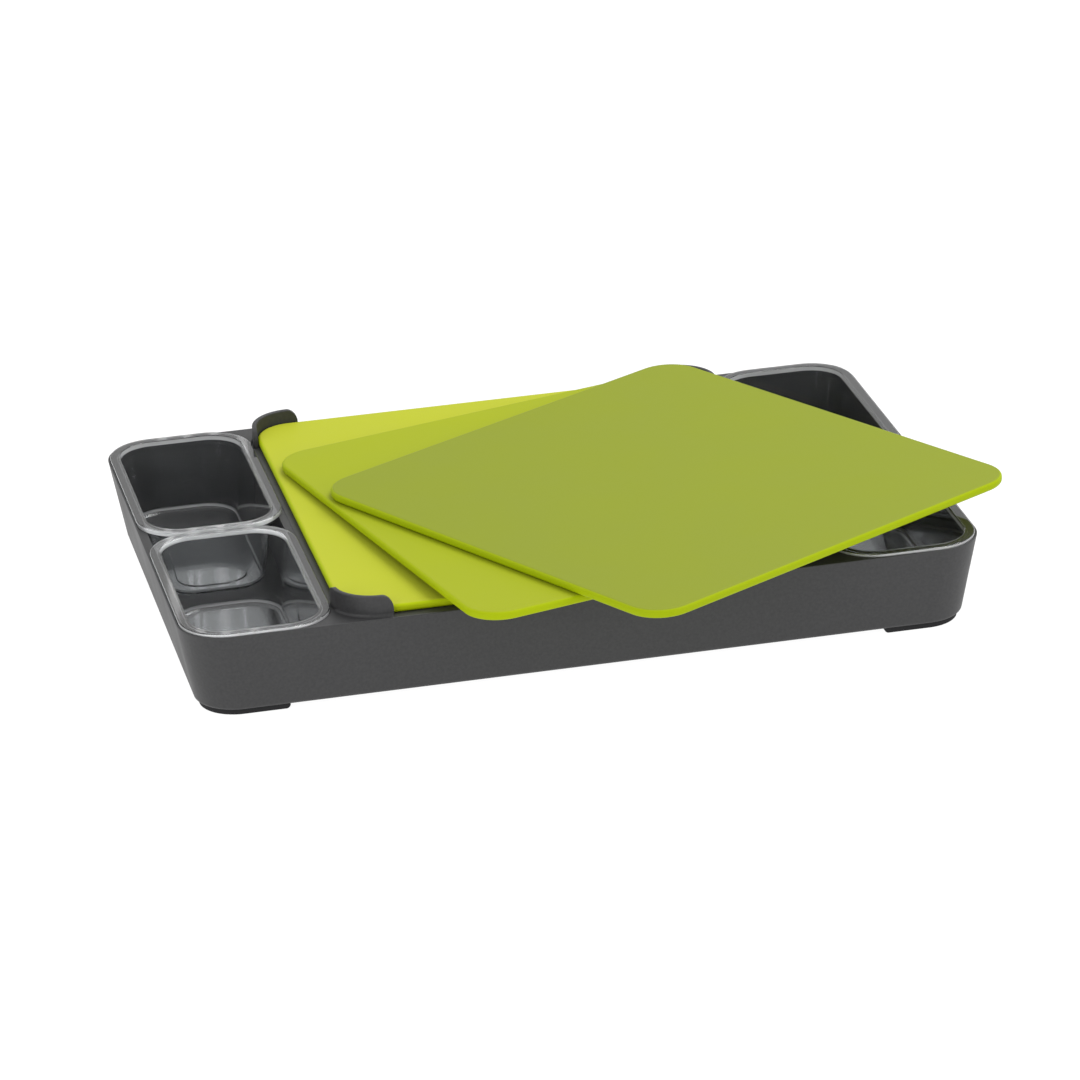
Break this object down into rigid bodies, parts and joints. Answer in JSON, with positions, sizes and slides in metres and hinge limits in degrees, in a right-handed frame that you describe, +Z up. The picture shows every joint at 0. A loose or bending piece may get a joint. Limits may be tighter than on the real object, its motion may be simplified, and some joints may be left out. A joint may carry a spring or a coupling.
{
  "type": "cutting board with lift-out trays",
  "caption": "Low tapered basin with clear lift-out trays at both ends and a raised middle platform whose corner guards hold a stack of thin boards, the upper ones fanned out",
  "frame": {"origin": "centre of the basin's flat underside, which the feet hold 3.5 mm above the table", "axes": "+X along the basin from the left trays to the right ones, -Y is the front, +Z is up"},
  "size_m": [0.4712, 0.385, 0.0742],
  "materials": {
    "charcoal_plastic": "fine matt moulded",
    "black_rubber": "dull",
    "clear_plastic": "clear glossy",
    "lime_plastic": "satin, bright yellow-green",
    "green_plastic": "satin, mid green",
    "olive_plastic": "satin, olive green"
  },
  "bodies": {
    "station": {"basin": "charcoal_plastic", "board_platform": "charcoal_plastic", "foot_front_left": "black_rubber", "foot_front_right": "black_rubber", "foot_rear_left": "black_rubber", "foot_rear_right": "black_rubber"},
    "lower_board": {"board_lower": "lime_plastic"},
    "middle_board": {"board_middle": "green_plastic"},
    "upper_board": {"board_upper": "olive_plastic"},
    "tray_left_front": {"tray_left_front": "clear_plastic"},
    "tray_left_rear": {"tray_left_rear": "clear_plastic"},
    "tray_right_front": {"tray_right_front": "clear_plastic"},
    "tray_right_rear": {"tray_right_rear": "clear_plastic"}
  },
  "joints": [
    {"name": "lower_board_lift", "type": "slide", "parent": "station", "child": "lower_board", "axis": [0, 0, 1], "range_m": [0, 0.12]},
    {"name": "middle_board_lift", "type": "slide", "parent": "lower_board", "child": "middle_board", "axis": [0, 0, 1], "range_m": [0, 0.1]},
    {"name": "upper_board_lift", "type": "slide", "parent": "middle_board", "child": "upper_board", "axis": [0, 0, 1], "range_m": [0, 0.1]},
    {"name": "tray_left_front_lift", "type": "slide", "parent": "station", "child": "tray_left_front", "axis": [0, 0, 1], "range_m": [0, 0.06]},
    {"name": "tray_left_rear_lift", "type": "slide", "parent": "station", "child": "tray_left_rear", "axis": [0, 0, 1], "range_m": [0, 0.06]},
    {"name": "tray_right_front_lift", "type": "slide", "parent": "station", "child": "tray_right_front", "axis": [0, 0, 1], "range_m": [0, 0.06]},
    {"name": "tray_right_rear_lift", "type": "slide", "parent": "station", "child": "tray_right_rear", "axis": [0, 0, 1], "range_m": [0, 0.06]}
  ],
  "couplings": [
    {"joint": "tray_right_front_lift", "follows": "lower_board_lift", "ratio": 0.5},
    {"joint": "tray_right_rear_lift", "follows": "lower_board_lift", "ratio": 0.5}
  ]
}
